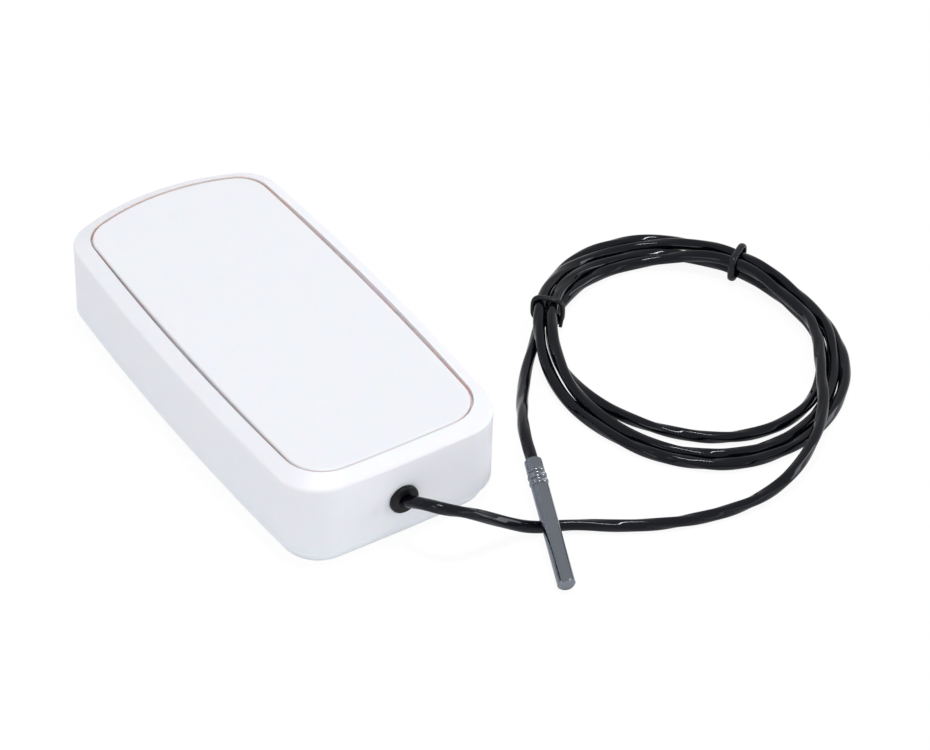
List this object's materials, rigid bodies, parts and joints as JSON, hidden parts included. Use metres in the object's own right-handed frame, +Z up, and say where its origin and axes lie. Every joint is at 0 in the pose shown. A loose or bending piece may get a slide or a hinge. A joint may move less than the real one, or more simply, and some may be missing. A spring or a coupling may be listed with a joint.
{
  "type": "wireless temperature sensor",
  "caption": "White moulded sensor housing with an inset top panel and a coiled black lead to a slim steel probe.",
  "frame": {"origin": "middle of the housing's underside, on the surface that the object lies on", "axes": "+Z up; +Y along the housing, away from the end that the lead leaves; +X across it, towards the coil"},
  "size_m": [0.1765, 0.1662, 0.027],
  "materials": {
    "housing_plastic": "fine satin, moulded",
    "panel_plastic": "smooth satin",
    "tape": "matt adhesive foam",
    "gasket": "matt",
    "screw_steel": "zinc plated",
    "black_rubber": "semi-matt moulded",
    "board_laminate": "solder mask",
    "black_plastic": "satin",
    "cell_jacket": "glossy sleeve",
    "contact_steel": "nickel plated",
    "shield_tin": "bright tin",
    "antenna_wire": "bare wire",
    "capacitor_can": "sleeved can",
    "lamp_resin": "clear resin",
    "terminal_plastic": "moulded",
    "cord_jacket": "glossy black jacket",
    "wire_jacket": "insulated",
    "probe_steel": "drawn stainless steel",
    "bead_resin": "dipped",
    "probe_wire": "tinned",
    "potting_resin": "cast resin",
    "tie_jacket": "glossy black"
  },
  "bodies": {
    "root": {"housing_shell": "housing_plastic", "top_panel": "panel_plastic", "panel_tape": "tape", "base_plate": "housing_plastic", "sealing_gasket": "gasket", "housing_screws": "screw_steel", "cable_grommet": "black_rubber", "circuit_board": "board_laminate", "board_screws": "screw_steel", "battery_holder": "black_plastic", "battery_cell_left": "cell_jacket", "battery_cell_right": "cell_jacket", "contact_leaves": "contact_steel", "contact_plates": "contact_steel", "radio_module": "board_laminate", "radio_shield": "shield_tin", "spring_antenna": "antenna_wire", "board_chips": "black_plastic", "buffer_capacitor": "capacitor_can", "setup_switch": "black_plastic", "status_lamp": "lamp_resin", "terminal_block": "terminal_plastic", "terminal_screws": "screw_steel", "cord_inner": "cord_jacket", "terminal_wires": "wire_jacket", "pull_stop": "black_plastic", "probe_sheath": "probe_steel", "sensing_bead": "bead_resin", "probe_wires": "probe_wire", "probe_potting": "potting_resin", "cord_lead": "cord_jacket", "cord_coil": "cord_jacket", "cord_tail": "cord_jacket", "tie_left": "tie_jacket", "tie_right": "tie_jacket"}
  },
  "joints": []
}
